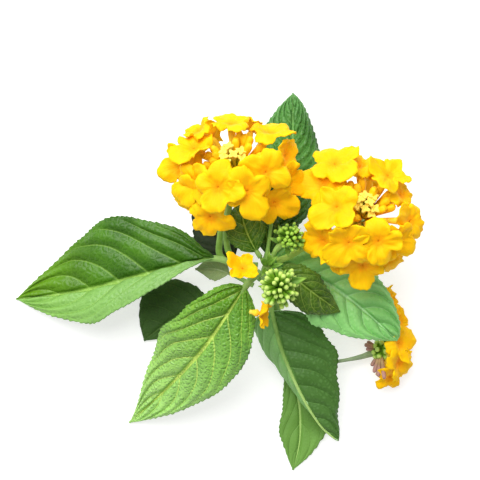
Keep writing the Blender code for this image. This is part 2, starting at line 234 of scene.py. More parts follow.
# Stalks: (x, y, z, radius) from the lower end to the upper end
STALKS = {
    "stem": [
        (24.2, -30.5, 3.9, 1.7), (20.8, -21.7, 4.9, 1.6), (17, -10.5, 7.2, 1.5), (14.4, -1.8, 12, 1.4),
        (13.6, 2.6, 18, 1.3), (13.8, 4.8, 24, 1.1),
    ],
    "peduncle_left": [
        (11.4, 4.6, 20.5, 0.8), (7.2, 5.2, 20.8, 0.75), (4, 8.5, 21, 0.75), (3.8, 15.5, 22.5, 0.8),
        (5, 24.2, 27.5, 1), (6, 27.5, 30, 1.7),
    ],
    "peduncle_right": [
        (16.2, 5.8, 21.5, 0.8), (19.4, 7, 22, 0.75), (24.8, 10.3, 23.4, 0.75), (31.2, 13.4, 25, 0.8),
        (34.8, 15.2, 26.7, 1), (36.8, 16.1, 28, 1.7),
    ],
    "peduncle_side": [
        (21.8, -18, 5.8, 0.6), (25.2, -21.4, 5, 0.48), (32.1, -20.6, 4.6, 0.44), (38, -19.5, 4.5, 0.44),
        (41.8, -18.2, 4.7, 0.7), (43.6, -17.4, 4.8, 1.2),
    ],
    "peduncle_bud_upper": [
        (15, 6.6, 25.6, 0.6), (15.8, 8.6, 28, 0.55), (17.8, 10.6, 29.4, 0.8), (18.7, 11.2, 30, 0.9),
    ],
    "peduncle_bud_lower": [
        (14.4, 3.2, 27, 0.6), (15, 1.6, 29, 0.55), (15.8, 0.3, 30.5, 0.8), (16.2, -0.2, 31.2, 0.9),
    ],
}
# Young shoots among the stalks, too slight for solids of their own
YOUNG_STALKS = {
    "stalk_young": [
        (13.4, 5, 24, 0.55), (13.9, 9, 25, 0.45), (14.6, 14.5, 26, 0.4), (15.2, 19.5, 27, 0.35),
    ],
    "stalk_back": [
        (11.5, 2.5, 14, 0.7), (5.5, 4.6, 12.5, 0.75), (1.9, 7.2, 12.5, 0.8), (2, 12, 13.5, 0.8),
        (3.2, 20, 15.5, 0.7),
    ],
}
# The look of each stalk that isn't a plain peduncle
STALK_LOOKS = {"stem": "stem", "peduncle_right": "right peduncle painted light", "peduncle_side": "side peduncle"}

# Open florets of each head: azimuth, elevation and reach of the throat from the receptacle, then azimuth and
# elevation that the limb faces, its radius, and degrees that its lip is turned about the throat
HEADS = {
    "left": [
        (151, 23, 12.4, 108, 42, 5.9, 70), (96, 16, 11.8, 94, 25, 5.8, 10), (48, 19, 12.8, 82, 21, 6, 20),
        (133, 10, 13.4, 126, 27, 4.3, 0), (-4, 55, 12.4, -70, 76, 6.2, -30), (18, 12, 12.8, 6, 36, 5, 40),
        (-11, 13, 12.6, -20, 44, 5.6, 0), (224, 62, 12.4, 230, 72, 6.4, 20), (-61, 63, 12.4, -75, 70, 6.5, 0),
        (241, 26, 13.8, 244, 54, 6, 0), (172, 8, 13, 205, 60, 5.7, 15), (195, 33, 12, 190, 56, 6.2, 40),
        (-39, 20, 12.6, -58, 56, 6.3, 30), (209, 24, 12.6, 214, 44, 5.9, 0), (70, -22, 12, 70, -22, 5, 0),
        (125, -26, 12, 125, -26, 5, 0),
    ],
    "right": [
        (117, 12, 15.3, 112, 46, 6.9, 180), (141, 16, 12.6, 140, 50, 6.1, 30),
        (158, 55, 12.8, 165, 68, 6.2, 60), (208, 27, 12.4, 208, 44, 6.1, 0),
        (236, 56, 12.4, 240, 66, 6.4, -20), (269, 26, 12.4, 264, 46, 5.7, 0),
        (300, 60, 12.4, 285, 72, 6.2, -20), (327, 38, 11.8, 322, 54, 5.6, 0), (300, 16, 11.4, 300, 48, 5, 20),
        (357, 26, 12.4, 2, 54, 5.6, -20), (60, 18, 12.7, 64, 46, 6, 180), (33, 16, 11.2, 34, 40, 4.5, 0),
        (240, 22, 11.4, 240, 50, 5, 30), (93, 9, 12.8, 96, 36, 4.3, 0), (75, -30, 12, 75, -30, 5, 0),
        (125, -27, 12, 125, -27, 5, 0),
    ],
    "side": [
        (82, 6, 13.4, 30, 25, 3.2, 0), (60, 14, 9, 20, 32, 4, 30), (26, 50, 7, 8, 42, 5.2, 0),
        (-38, 42, 6.8, -20, 42, 5.2, 0), (-72, 4, 7.4, -58, 45, 4.4, 0),
    ],
}
# Fallen florets caught among the leaves: foot, direction of the tube, its length, radius of the limb, turn
FALLEN = {
    "floret_fallen_upper": ((7.5, 3, 30.4), (0.05, 0.46, 0.88), 2.4, 4.2, 45),
    "floret_fallen_lower": ((9.4, -6.6, 27.4), (0.93, -0.12, 0.34), 2.8, 4.2, 50),
}
# The way that the lip of a fallen floret lies
FALLEN_LIP = Vector((0, -1, 0))

# Buds: share of the length, share of the radius, and how square it is there
STAR_PROFILE = (
    (0, 0.36, 0), (0.3, 0.4, 0), (0.55, 0.46, 0.04), (0.74, 0.56, 0.1), (0.86, 0.76, 0.2), (0.95, 1, 0.32),
    (0.99, 1.04, 0.36), (1, 0.74, 0.34), (0.95, 0.38, 0.2), (0.9, 0.1, 0),
)
ROUND_PROFILE = (
    (0, 0.5, 0), (0.3, 0.6, 0), (0.6, 0.84, 0.02), (0.78, 1, 0.05), (0.9, 0.98, 0.1), (0.97, 0.74, 0.16),
    (1, 0.4, 0.2), (1, 0.1, 0),
)
# Closed buds in the middle of the open heads: azimuth, elevation and reach from the receptacle
CLOSED_BUDS = {
    "left": {
        "cream": [
            (120, 45, 8.4), (106, 40, 8.6), (98, 58, 8), (75, 50, 8.2), (139, 64, 7.4), (130, 54, 8.2),
            (61, 62, 7.6), (170, 62, 7),
        ],
        "orange": [
            (90, 38, 10), (75, 30, 10.6), (62, 44, 10), (142, 43, 9.6), (156, 45, 9.4), (44, 27, 11),
            (135, 34, 10), (168, 36, 9.8), (66, 32, 10.6), (176, 46, 8.8), (32, 38, 9.8), (150, 34, 10.2),
            (84, 26, 10.8), (30, 58, 8.2),
        ],
    },
    "right": {
        "cream": [
            (87, 45, 8.5), (102, 52, 8.2), (70, 56, 8), (43, 60, 7.5), (84, 68, 7), (66, 45, 8.8),
            (35, 70, 6.8), (118, 60, 7.4),
        ],
        "orange": [
            (101, 33, 10.2), (70, 38, 10.2), (38, 39, 10), (27, 50, 9), (91, 20, 10.8), (22, 36, 10),
            (174, 74, 7.5), (110, 24, 10.6), (128, 44, 9.2), (352, 50, 8.2), (60, 24, 10.8), (140, 56, 8.2),
            (44, 24, 10.4),
        ],
    },
}
# Profile, sides and radius of each kind; each bud is twisted further than the one before
CLOSED_BUD_SHAPES = {"cream": (STAR_PROFILE, 20, 1.1), "orange": (ROUND_PROFILE, 16, 0.95)}
TWIST_STEP = 0.5
CLOSED_BUD_FOOT = 1.4

# Green heads: the way they face, number of buds, shortest and longest bud, their radius and look
GREEN_HEADS = {
    "upper": (60, 62, 54, 1.9, 3.6, 0.5, "deep green bud"),
    "lower": (-60, 70, 56, 2.8, 5.1, 0.58, "green bud"),
}
GREEN_HEAD_OFFSET = 0.9
GREEN_HEAD_SPREAD = math.radians(108)
GREEN_BUD_FOOT = 0.6
GREEN_BUD_SIDES = 8
# Small leaves about the green heads and the growing tip: foot, tip, half width, how far they arch upward
BRACTS = {
    "bracts_upper": [
        ((17.4, 10.2, 29), (14, 11.6, 29.3), 0.5, 0.4), ((18.4, 9.6, 28.6), (18.8, 7, 28), 0.6, 0.4),
        ((19.2, 10.4, 28.6), (22.4, 8.6, 27.8), 0.7, 0.5), ((17.6, 12, 29), (16.4, 14.6, 29), 0.5, 0.4),
        ((19.4, 12, 29), (21.8, 13.8, 28.6), 0.6, 0.4),
    ],
    "bracts_lower": [
        ((17, 0.2, 31), (23.2, 1.8, 31.2), 1, 0.7), ((16.4, 1.2, 31), (18.2, 3.8, 32.2), 0.5, 0.4),
        ((15.6, 1.2, 31), (14.6, 4.2, 32), 0.6, 0.4), ((15.2, -0.6, 30.6), (11.4, -0.2, 31.2), 0.6, 0.4),
        ((15.6, -1.6, 30.4), (12.8, -4.4, 30.6), 0.6, 0.4), ((17.2, -1.4, 30.4), (20.8, -3.4, 31), 0.7, 0.4),
    ],
    "bracts_tip": [
        ((13.6, 4.8, 25), (16.2, 7, 27), 0.6, 0.5), ((13.8, 4.6, 25), (11.8, 7, 26), 0.7, 0.4),
        ((14.2, 5, 25), (14.2, 8.2, 26.6), 0.5, 0.4), ((14.4, 4.4, 25), (17.6, 5.2, 26.6), 0.6, 0.5),
        ((13.4, 4, 25), (12.2, 2, 27.2), 0.5, 0.4), ((14.4, 4, 25), (16, 2.8, 27), 0.5, 0.4),
    ],
}
BRACT_STEPS = (12, 4)
BRACT_FOLD = 0.5
BRACT_THICKNESS = 0.2
# The side head's green receptacle and its withered flowers: look, then azimuth, elevation, length and radius
SIDE_REMAINS = {
    "green": ("green bud", [
        (150, 30, 2.6, 0.7), (175, 60, 2.6, 0.7), (120, 20, 2.8, 0.7), (200, 25, 2.8, 0.7), (230, 10, 3, 0.7),
        (90, 45, 3.2, 0.7), (40, 60, 3.6, 0.7), (-20, 70, 3.6, 0.7), (250, 45, 3, 0.7), (70, 20, 3.8, 0.7),
        (20, 30, 4, 0.7), (-30, 20, 4, 0.7), (-60, 40, 3.4, 0.7), (270, 10, 3.4, 0.7),
    ]),
    "withered": ("withered flower", [
        (162, 24, 5, 0.6), (150, 8, 4.2, 0.5), (178, 12, 4, 0.5), (252, 12, 6.4, 0.6),
        (262, 22, 7.4, 0.6), (240, 4, 5, 0.5), (274, 30, 8.4, 0.6), (170, 0, 3.6, 0.5),
    ]),
}
SIDE_BUD_SIDES = 10

# Relief and shine of the materials
LEAF_RELIEF = 0.4
LEAF_SHINE = 0.32
LEAF_LOWER_RELIEF = 0.3
LEAF_LOWER_SHINE = 0.5
PETAL_RELIEF = 0.12
PETAL_SHINE = 0.12
GREEN_RELIEF = 0.2
# Light that goes into the petals: how much, how deep, and the shares of that depth for red, green and blue
PETAL_GLOW = 0.1
GLOW_DEPTH = 1.2
GLOW_SHARES = (1, 0.4, 0.1)
# The two faces of a petal: the colours of its parts, and roughness
PETAL_PARTS = ("Foot", "Tube", "Throat", "Limb", "Margin")
PETAL_LOOKS = {
    "petal upper face": ((230, 214, 90), (253, 212, 56), (252, 164, 6), (250, 190, 4), (252, 202, 4), 0.5),
    "petal lower face": ((230, 214, 90), (253, 210, 56), (252, 164, 6), (250, 192, 10), (252, 202, 10), 0.6),
}
# Stalks and buds: two colours in patches, the colour of the end and the share where it starts, and the shine
GREEN_LOOKS = {
    "petiole": ((120, 160, 70), (150, 190, 100), (165, 200, 110), 0.3, 0.5),
    "stem": ((112, 150, 62), (150, 182, 92), (150, 190, 95), 0.75, 0.5),
    "peduncle": ((122, 168, 64), (156, 196, 92), (120, 164, 40), 0.8, 0.5),
    # The right peduncle is painted lighter: a painted light where the right head's shadow falls on it
    "right peduncle painted light": ((168, 212, 88), (196, 230, 116), (130, 172, 44), 0.8, 0.5),
    "side peduncle": ((140, 160, 122), (166, 184, 146), (120, 140, 56), 0.75, 0.5),
    "cream bud": ((178, 180, 26), (226, 204, 50), (252, 228, 96), 0.6, 0.2),
    "orange bud": ((240, 176, 14), (252, 192, 18), (253, 202, 16), 0.6, 0.2),
    "green bud": ((92, 142, 16), (130, 178, 36), (190, 220, 108), 0.72, 0.5),
    "deep green bud": ((60, 104, 8), (94, 142, 20), (150, 194, 62), 0.72, 0.5),
    "bract": ((74, 120, 16), (104, 152, 36), (136, 180, 62), 0.6, 0.5),
    "withered flower": ((150, 124, 80), (196, 160, 120), (176, 134, 124), 0.5, 0.2),
}


def placed(point):
    """A place in millimetres as metres in the frame."""
    return (Vector(point) - MIDDLE) * MM


def direction(azimuth, elevation):
    a, e = math.radians(azimuth), math.radians(elevation)
    return Vector((math.cos(a) * math.cos(e), math.sin(a) * math.cos(e), math.sin(e)))


def smooth(low, high, value):
    """0 below low, 1 above high, and a smooth rise between them."""
    t = min(1, max(0, (value - low) / (high - low)))
    return t * t * (3 - 2 * t)


def along(points, share):
    """Point and tangent at a share of a smooth line through the points."""
    points = [Vector(p) for p in points]
    lengths = [(b - a).length for a, b in zip(points, points[1:])]
    left = share * sum(lengths)
    i = 0
    while i < len(lengths) - 1 and left > lengths[i]:
        left -= lengths[i]
        i += 1
    t = left / lengths[i]
    p0 = points[max(i - 1, 0)]
    p1, p2 = points[i], points[i + 1]
    p3 = points[min(i + 2, len(points) - 1)]
    m1, m2 = (p2 - p0) / 2, (p3 - p1) / 2
    place = (
        p1 * (2 * t**3 - 3 * t**2 + 1) + m1 * (t**3 - 2 * t**2 + t)
        + p2 * (3 * t**2 - 2 * t**3) + m2 * (t**3 - t**2)
    )
    slope = (
        p1 * (6 * t**2 - 6 * t) + m1 * (3 * t**2 - 4 * t + 1)
        + p2 * (6 * t - 6 * t**2) + m2 * (3 * t**2 - 2 * t)
    )
    return place, slope.normalized()


def across(axis):
    """Two directions square to an axis and to each other."""
    axis = axis.normalized()
    hint = Vector((1, 0, 0)) if abs(axis.dot(UP)) > 0.95 else UP
    x = (hint - axis * hint.dot(axis)).normalized()
    return x, axis.cross(x)


def upward(tangent):
    """The direction square to a tangent that comes nearest to straight up."""
    return (UP - tangent * UP.dot(tangent)).normalized()


def top_of(stalk):
    """The upper end of a stalk, where its head sits."""
    return Vector(STALKS[stalk][-1][:3])


# Meshes

def grow(bm, rings, cap_start=False, cap_end=False):
    """Extrudes a circle of vertices through rings of points. Gives the vertex rings, in the points' order."""
    ring = bmesh.ops.create_circle(bm, cap_ends=cap_start, segments=len(rings[0]), radius=1)["verts"]
    for v, place in zip(ring, rings[0]):
        v.co = place
    inside = set(ring)
    rim = [e for v in ring for e in v.link_edges if e.other_vert(v) in inside]
    rim = list(dict.fromkeys(rim))
    loops = [ring]
    for places in rings[1:]:
        made = bmesh.ops.extrude_edge_only(bm, edges=rim)["geom"]
        fresh = {g for g in made if isinstance(g, bmesh.types.BMVert)}
        rim = [g for g in made if isinstance(g, bmesh.types.BMEdge)]
        following = []
        for v, place in zip(loops[-1], places):
            partner = next(e.other_vert(v) for e in v.link_edges if e.other_vert(v) in fresh)
            partner.co = place
            following.append(partner)
        loops.append(following)
    if cap_end:
        bmesh.ops.edgeloop_fill(bm, edges=rim)
    return loops


def ring_of(centre, x_axis, y_axis, radius, sides, corners=0.0, twist=0.0):
    """A ring of points; corners is how far its four corners stand out, and twist turns them."""
    points = []
    for i in range(sides):
        angle = 2 * math.pi * i / sides
        reach = radius * (1 + corners * math.cos(4 * (angle + twist)))
        points.append(centre + (x_axis * math.cos(angle) + y_axis * math.sin(angle)) * reach)
    return points


def set_lengths(bm, loops, shares):
    """Writes each ring's share of the length into the piece's own map."""
    uv = bm.loops.layers.uv.get("length") or bm.loops.layers.uv.new("length")
    for ring, share in zip(loops, shares):
        for v in ring:
            for loop in v.link_loops:
                loop[uv].uv = (share, 0.5)


def add_to_scene(thing):
    bpy.context.scene.collection.objects.link(thing)


def finish_piece(name, bm, looks, replaces=(), is_backward=None):
    """Makes the piece in metres from a bmesh in millimetres, and hands it to the frame.

    All faces point to one side; is_backward tells whether that is the wrong one for an open sheet.
    """
    bmesh.ops.recalc_face_normals(bm, faces=bm.faces)
    if is_backward and is_backward():
        bmesh.ops.reverse_faces(bm, faces=bm.faces)
    for v in bm.verts:
        v.co = placed(v.co)
    mesh = bpy.data.meshes.new(name)
    bm.to_mesh(mesh)
    bm.free()
    mesh.shade_smooth()
    for look in looks:
        mesh.materials.append(look)
    piece = bpy.data.objects.new(name, mesh)
    add_to_scene(piece)
    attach(piece, "root")
    if replaces:
        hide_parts(*replaces)
    return piece


def add_wall(piece, thickness):
    """Gives an open sheet its thickness, below the side that its faces point to."""
    wall = piece.modifiers.new("thickness", "SOLIDIFY")
    wall.thickness = thickness * MM
    wall.offset = -1
    wall.material_offset = 1
    wall.material_offset_rim = 0


# Materials

def node(tree, kind, inputs=None, **settings):
    """A new shader node; an input is a number or a colour, or another node's output to connect."""
    made = tree.nodes.new(kind)
    for name, value in settings.items():
        setattr(made, name, value)
    for socket, value in (inputs or {}).items():
        if isinstance(value, bpy.types.NodeSocket):
            tree.links.new(value, made.inputs[socket])
        else:
            made.inputs[socket].default_value = value
    return made


def calc(tree, operation, first, second=0.0, third=0.0):
    return node(tree, "ShaderNodeMath", {0: first, 1: second, 2: third}, operation=operation).outputs[0]


def band(tree, value, start, end, to_start=0.0, to_end=1.0):
    """A smooth step from to_start to to_end as the value goes from start to end."""
    ends = {"From Min": start, "From Max": end, "To Min": to_start, "To Max": to_end}
    made = node(tree, "ShaderNodeMapRange", {"Value": value, **ends}, interpolation_type="SMOOTHSTEP")
    return made.outputs["Result"]


def blend(tree, factor, first, second):
    return node(tree, "ShaderNodeMix", {0: factor, 6: first, 7: second}, data_type="RGBA").outputs[2]


def speckle(tree, vector, scale, detail):
    """Smooth noise from 0 to 1."""
    inputs = {"Vector": vector, "Scale": scale, "Detail": detail}
    return node(tree, "ShaderNodeTexNoise", inputs).outputs["Fac"]


def object_place(tree):
    return node(tree, "ShaderNodeTexCoord").outputs["Object"]


def rgb(red, green, blue):
    """A screen colour, 0 to 255, as the shader's linear one."""
    linear = []
    for value in (red, green, blue):
        value /= 255
        linear.append(value / 12.92 if value <= 0.04045 else ((value + 0.055) / 1.055) ** 2.4)
    return (*linear, 1)


def paler(colour, amount):
    return [min(255, value + amount) for value in colour]


def new_group(name, colours, numbers):
    """A shader node group that takes these colours and numbers and gives a surface."""
    tree = bpy.data.node_groups.new(name, "ShaderNodeTree")
    for way, kind, labels in (
        ("INPUT", "Color", colours), ("INPUT", "Float", numbers),
        ("OUTPUT", "Color", ["Color"]), ("OUTPUT", "Float", ["Roughness", "Height"]),
    ):
        for label in labels:
            tree.interface.new_socket(label, in_out=way, socket_type=f"NodeSocket{kind}")
    return tree, tree.nodes.new("NodeGroupInput").outputs


def give_surface(tree, colour, roughness, height):
    """Connects a group's results, and gives the group."""
    result = tree.nodes.new("NodeGroupOutput").inputs
    tree.links.new(colour, result["Color"])
    tree.links.new(roughness, result["Roughness"])
    tree.links.new(height, result["Height"])
    return tree


def leaf_group():
    """The face of a blade: sunk arching veins, a fine net, blistered green between them."""
    tree, given = new_group(
        "leaf surface",
        ("Blade", "Blade light", "Vein", "Tip tint and painted light", "Half painted light"),
        ("Vein pairs", "Vein arch", "Vein strength", "Net strength", "Blister scale", "Blister height",
         "Roughness", "Tip start", "Half painted light share"))
    uv = node(tree, "ShaderNodeUVMap", uv_map="leaf")
    split = node(tree, "ShaderNodeSeparateXYZ", {0: uv.outputs[0]})
    t = split.outputs["X"]
    side = calc(tree, "ABSOLUTE", calc(tree, "MULTIPLY_ADD", split.outputs["Y"], 2.0, -1.0))
    curl = calc(tree, "MULTIPLY_ADD", calc(tree, "POWER", side, 3.0), VEIN_CURL, side)
    arch = calc(tree, "MULTIPLY", curl, given["Vein arch"])
    place = calc(tree, "MULTIPLY", calc(tree, "SUBTRACT", t, arch), given["Vein pairs"])
    offset = calc(tree, "ABSOLUTE", calc(tree, "SUBTRACT", calc(tree, "FRACT", place), 0.5))
    lateral = calc(tree, "MULTIPLY", band(tree, offset, 0.43, 0.5), band(tree, side, 0.99, 0.8))
    midrib = band(tree, side, 0.06, 0.02)
    # Painted light on the left half: a painted sheen on some leaves and a painted shade on others, as much as
    # the share given
    left_half = calc(tree, "MULTIPLY", band(tree, split.outputs["Y"], 0.5, 0.46), given["Half painted light share"])
    where = object_place(tree)
    cells = node(tree, "ShaderNodeTexVoronoi", {"Vector": where, "Scale": given["Blister scale"]},
                 feature="DISTANCE_TO_EDGE").outputs["Distance"]
    net = band(tree, cells, 0.07, 0.0)
    patches = speckle(tree, where, 90.0, 2.0)
    grain = speckle(tree, where, 2600.0, 2.0)
    colour = blend(tree, band(tree, patches, 0.35, 0.68), given["Blade"], given["Blade light"])
    # Toward the tip colour: the tip's own tint on most leaves; on leaf_right it leaves the base painted
    # lighter, a painted light, and on leaf_top painted darker, a painted shade
    colour = blend(tree, band(tree, t, given["Tip start"], 1.0, 0.0, 0.8), colour, given["Tip tint and painted light"])
    # The left half's painted light
    colour = blend(tree, left_half, colour, given["Half painted light"])
    # Painted highlight: the middles of the blisters are painted a little toward the lighter colour
    colour = blend(tree, band(tree, cells, 0.05, 0.45, 0.0, 0.15), colour, given["Blade light"])
    colour = blend(tree, calc(tree, "MULTIPLY", net, given["Net strength"]), colour, given["Vein"])
    colour = blend(tree, calc(tree, "MULTIPLY", lateral, given["Vein strength"]), colour, given["Vein"])
    colour = blend(tree, calc(tree, "MULTIPLY", midrib, 0.92), colour, given["Vein"])
    dome = calc(tree, "MULTIPLY", band(tree, cells, 0.0, 0.4), given["Blister height"])
    height = calc(tree, "MULTIPLY_ADD", grain, 0.08, dome)
    height = calc(tree, "SUBTRACT", height, calc(tree, "MULTIPLY", lateral, 0.2))
    height = calc(tree, "SUBTRACT", height, calc(tree, "MULTIPLY", midrib, 0.25))
    roughness = calc(tree, "MULTIPLY_ADD", grain, 0.16, given["Roughness"])
    return give_surface(tree, colour, roughness, height)


def petal_group():
    """A floret's colour from the foot of its tube, through the orange throat, to the bright margin."""
    tree, given = new_group("petal surface", PETAL_PARTS, ["Roughness"])
    uv = node(tree, "ShaderNodeUVMap", uv_map="petal").outputs[0]
    plane = node(tree, "ShaderNodeVectorMath", {0: uv, 1: (0.5, 0.5, 0)}, operation="SUBTRACT").outputs[0]
    length = node(tree, "ShaderNodeVectorMath", {0: plane}, operation="LENGTH").outputs["Value"]
    radial = calc(tree, "MULTIPLY", length, 2.0)
    way = node(tree, "ShaderNodeVectorMath", {0: plane}, operation="NORMALIZE").outputs[0]
    mottle = speckle(tree, object_place(tree), 420.0, 3.0)
    streaks = speckle(tree, way, 9.0, 2.0)
    colour = blend(tree, band(tree, radial, 0.02, 0.2), given["Foot"], given["Tube"])
    colour = blend(tree, band(tree, radial, 0.38, 0.48), colour, given["Throat"])
    spread = calc(tree, "MULTIPLY_ADD", calc(tree, "SUBTRACT", streaks, 0.5), 0.22, radial)
    colour = blend(tree, band(tree, spread, 0.47, 0.64), colour, given["Limb"])
    colour = blend(tree, band(tree, spread, 0.78, 1.02), colour, given["Margin"])
    colour = blend(tree, band(tree, mottle, 0.45, 0.75, 0.0, 0.25), colour, given["Throat"])
    height = calc(tree, "MULTIPLY_ADD", streaks, 0.8, calc(tree, "MULTIPLY", mottle, 0.4))
    roughness = calc(tree, "MULTIPLY_ADD", mottle, 0.2, given["Roughness"])
    return give_surface(tree, colour, roughness, height)


def green_group():
    """Stalks, calyces and buds: two colours in patches, another toward the end, and a fine grain."""
    tree, given = new_group("green surface", ("Base", "Light", "End"), ["End start"])
    uv = node(tree, "ShaderNodeUVMap", uv_map="length")
    split = node(tree, "ShaderNodeSeparateXYZ", {0: uv.outputs[0]})
    where = object_place(tree)
    patches = speckle(tree, where, 260.0, 3.0)
    grain = speckle(tree, where, 900.0, 2.0)
    colour = blend(tree, band(tree, patches, 0.35, 0.7), given["Base"], given["Light"])
    share = calc(tree, "SUBTRACT", split.outputs["X"], given["End start"])
    colour = blend(tree, band(tree, share, 0.0, 0.25), colour, given["End"])
    return give_surface(tree, colour, calc(tree, "MULTIPLY_ADD", grain, 0.2, 0.5), grain)


GROUPS = {"leaf": leaf_group(), "petal": petal_group(), "green": green_group()}


def material(name, group, values, relief, shine, glow=0.0):
    """A material whose colour, roughness and relief come from one of the shared groups."""
    made = bpy.data.materials.new(name)
    made.use_nodes = True
    tree = made.node_tree
    shader = tree.nodes["Principled BSDF"]
    surface = node(tree, "ShaderNodeGroup", values, node_tree=GROUPS[group]).outputs
    bump = node(tree, "ShaderNodeBump", {"Height": surface["Height"], "Distance": relief * MM})
    tree.links.new(surface["Color"], shader.inputs["Base Color"])
    tree.links.new(surface["Roughness"], shader.inputs["Roughness"])
    tree.links.new(bump.outputs["Normal"], shader.inputs["Normal"])
    shader.inputs["Specular IOR Level"].default_value = shine
    if glow:
        shader.inputs["Subsurface Weight"].default_value = glow
        shader.inputs["Subsurface Radius"].default_value = GLOW_SHARES
        shader.inputs["Subsurface Scale"].default_value = GLOW_DEPTH * MM
    return made


def leaf_faces(name):
    """The upper and the lower face of one leaf."""
    blade, light, vein, own = LEAF_LOOKS[name]
    look = {**PLAIN_LEAF, "tip": light, **own}
    _, _, pairs, _, _, arch = LEAF_DETAIL[name]
    shared = {"Vein pairs": pairs, "Vein arch": arch, "Blister scale": look["blisters"]}
    upper = material(f"{name} upper face", "leaf", {
        "Blade": rgb(*blade), "Blade light": rgb(*light), "Vein": rgb(*vein),
        "Tip tint and painted light": rgb(*look["tip"]), "Tip start": look["tip_start"],
        "Half painted light": rgb(*look["left"]), "Half painted light share": look["half_painted_light_share"],
        "Vein strength": look["veins"], "Net strength": look["net"],
        "Blister height": look["height"], "Roughness": look["roughness"], **shared,
    }, LEAF_RELIEF, LEAF_SHINE)
    under = [min(255, int(value * 0.75 + 50)) for value in light]
    lower = material(f"{name} lower face", "leaf", {
        "Blade": rgb(*under), "Blade light": rgb(*paler(under, 14)), "Vein": rgb(*paler(under, 40)),
        "Tip tint and painted light": rgb(*under), "Tip start": PLAIN_LEAF["tip_start"],
        "Half painted light": rgb(*under), "Half painted light share": 0.0,
        "Vein strength": 0.9, "Net strength": 0.5, "Blister height": -0.5, "Roughness": 0.62, **shared,
    }, LEAF_LOWER_RELIEF, LEAF_LOWER_SHINE)
    return upper, lower


def petal_face(name):
    *colours, roughness = PETAL_LOOKS[name]
    values = {part: rgb(*colour) for part, colour in zip(PETAL_PARTS, colours)}
    return material(name, "petal", {**values, "Roughness": roughness}, PETAL_RELIEF, PETAL_SHINE, PETAL_GLOW)


def green_material(name):
    base, light, end, end_start, shine = GREEN_LOOKS[name]
    values = {"Base": rgb(*base), "Light": rgb(*light), "End": rgb(*end), "End start": end_start}
    return material(name, "green", values, GREEN_RELIEF, shine)


PETAL_FACES = [petal_face(name) for name in PETAL_LOOKS]
GREEN_MATERIALS = {name: green_material(name) for name in GREEN_LOOKS}


# Leaves

def half_width(t, widest, power, base_draw, tip_draw):
    """Half the blade's width at t of its length; a higher power moves the broadest place toward the tip."""
    shape = max(0, math.sin(math.pi * min(1, t)**power)) ** (tip_draw if t**power > 0.5 else base_draw)
    return max(TIP_HALF_WIDTH * smooth(0, 0.4, t), widest * shape)


def tooth(distance, seed):
    """How far a margin's teeth stand out: a slow rise toward the tip and a quick fall behind each point."""
    distance = distance / TOOTH_SPACING + 0.6 * noise.noise(Vector((distance * 0.2, seed, 0)))
    step = distance % 1
    depth = TOOTH_DEPTH * (0.75 + 0.7 * noise.noise(Vector((math.floor(distance) * 1.37, seed, 5))))
    return depth * (step / TOOTH_RISE if step < TOOTH_RISE else (1 - step) / TOOTH_FALL)


def leaf_relief(t, side, width, pairs, rise, arch):
    """Height of the upper face over the plain blade: panels puffed between sunk veins."""
    place = pairs * (t - arch * (side + VEIN_CURL * side**3))
    panel = abs(math.sin(math.pi * place))
    fade = smooth(0, 0.12, side) * smooth(1.0, 0.86, side) * smooth(0.3, 4.0, width)
    groove = -MIDRIB_GROOVE * smooth(0.9, 0.1, side * width) * smooth(0.5, 3.0, width)
    return rise * panel * fade + groove


def make_blade(name):
    midrib, blade_start, left_half, right_half = LEAVES[name]
    steps, steps_across, pairs, rise, wave, arch = LEAF_DETAIL[name]
    bm = bmesh.new()
    bmesh.ops.create_grid(bm, x_segments=steps, y_segments=steps_across, size=1)
    uv = bm.loops.layers.uv.new("leaf")
    for face in bm.faces:
        for loop in face.loops:
            loop[uv].uv = ((loop.vert.co.x + 1) / 2, (loop.vert.co.y + 1) / 2)
    length = sum((Vector(b) - Vector(a)).length for a, b in zip(midrib, midrib[1:])) * (1 - blade_start)
    stations = [along(midrib, blade_start + (1 - blade_start) * (i / steps)) for i in range(steps + 1)]
    for v in bm.verts:
        station = round((v.co.x + 1) / 2 * steps)
        t = station / steps
        place, tangent = stations[station]
        normal = upward(tangent)
        right = tangent.cross(normal)
        side = abs(v.co.y)
        widest, base_rise, tip_rise, *outline = right_half if v.co.y > 0 else left_half
        out = right if v.co.y > 0 else -right
        full = half_width(t, widest, *outline)
        uneven = noise.noise(Vector((t * 6, math.copysign(3, v.co.y), len(name))))
        full *= 1 + OUTLINE_UNEVENNESS * uneven * smooth(0, 0.2, t)
        full += tooth(t * length, math.copysign(2, v.co.y)) * smooth(0.93, 1.0, side) * smooth(1.0, 4.0, full)
        width = full * side
        angle = math.radians(base_rise + (tip_rise - base_rise) * t)
        sheet = out * math.cos(angle) + normal * math.sin(angle)
        lift = normal * math.cos(angle) - out * math.sin(angle)
        ripple = noise.noise(Vector((t * 7, v.co.y * 1.5, len(name) * 3.7)))
        height = leaf_relief(t, side, full, pairs, rise, arch) - MARGIN_DROOP * width * side
        height += wave * ripple * 2 * side**2 * smooth(1.0, 5.0, full)
        v.co = place + sheet * width + lift * height
        v.co.z = max(v.co.z, BLADE_THICKNESS + GAP_OVER_FLOOR)
    replaced = [name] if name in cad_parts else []
    blade = finish_piece(f"{name}_blade", bm, leaf_faces(name), replaced,
                         lambda: sum(f.normal.z for f in bm.faces) < 0)
    add_wall(blade, BLADE_THICKNESS)


# Stalks

def stalk_mesh(points, radii, steps, squareness, sides):
    """A tube through points with a radius for each; squareness gives it the four ribs of a young stem."""
    rings = []
    for i in range(steps + 1):
        share = i / steps
        place, tangent = along(points, share)
        near = share * (len(radii) - 1)
        low = min(int(near), len(radii) - 2)
        radius = radii[low] + (radii[low + 1] - radii[low]) * (near - low)
        x, y = across(tangent)
        rings.append(ring_of(place, x, y, radius, sides, squareness))
    bm = bmesh.new()
    loops = grow(bm, rings, cap_start=True, cap_end=True)
    set_lengths(bm, loops, [i / steps for i in range(steps + 1)])
    return bm


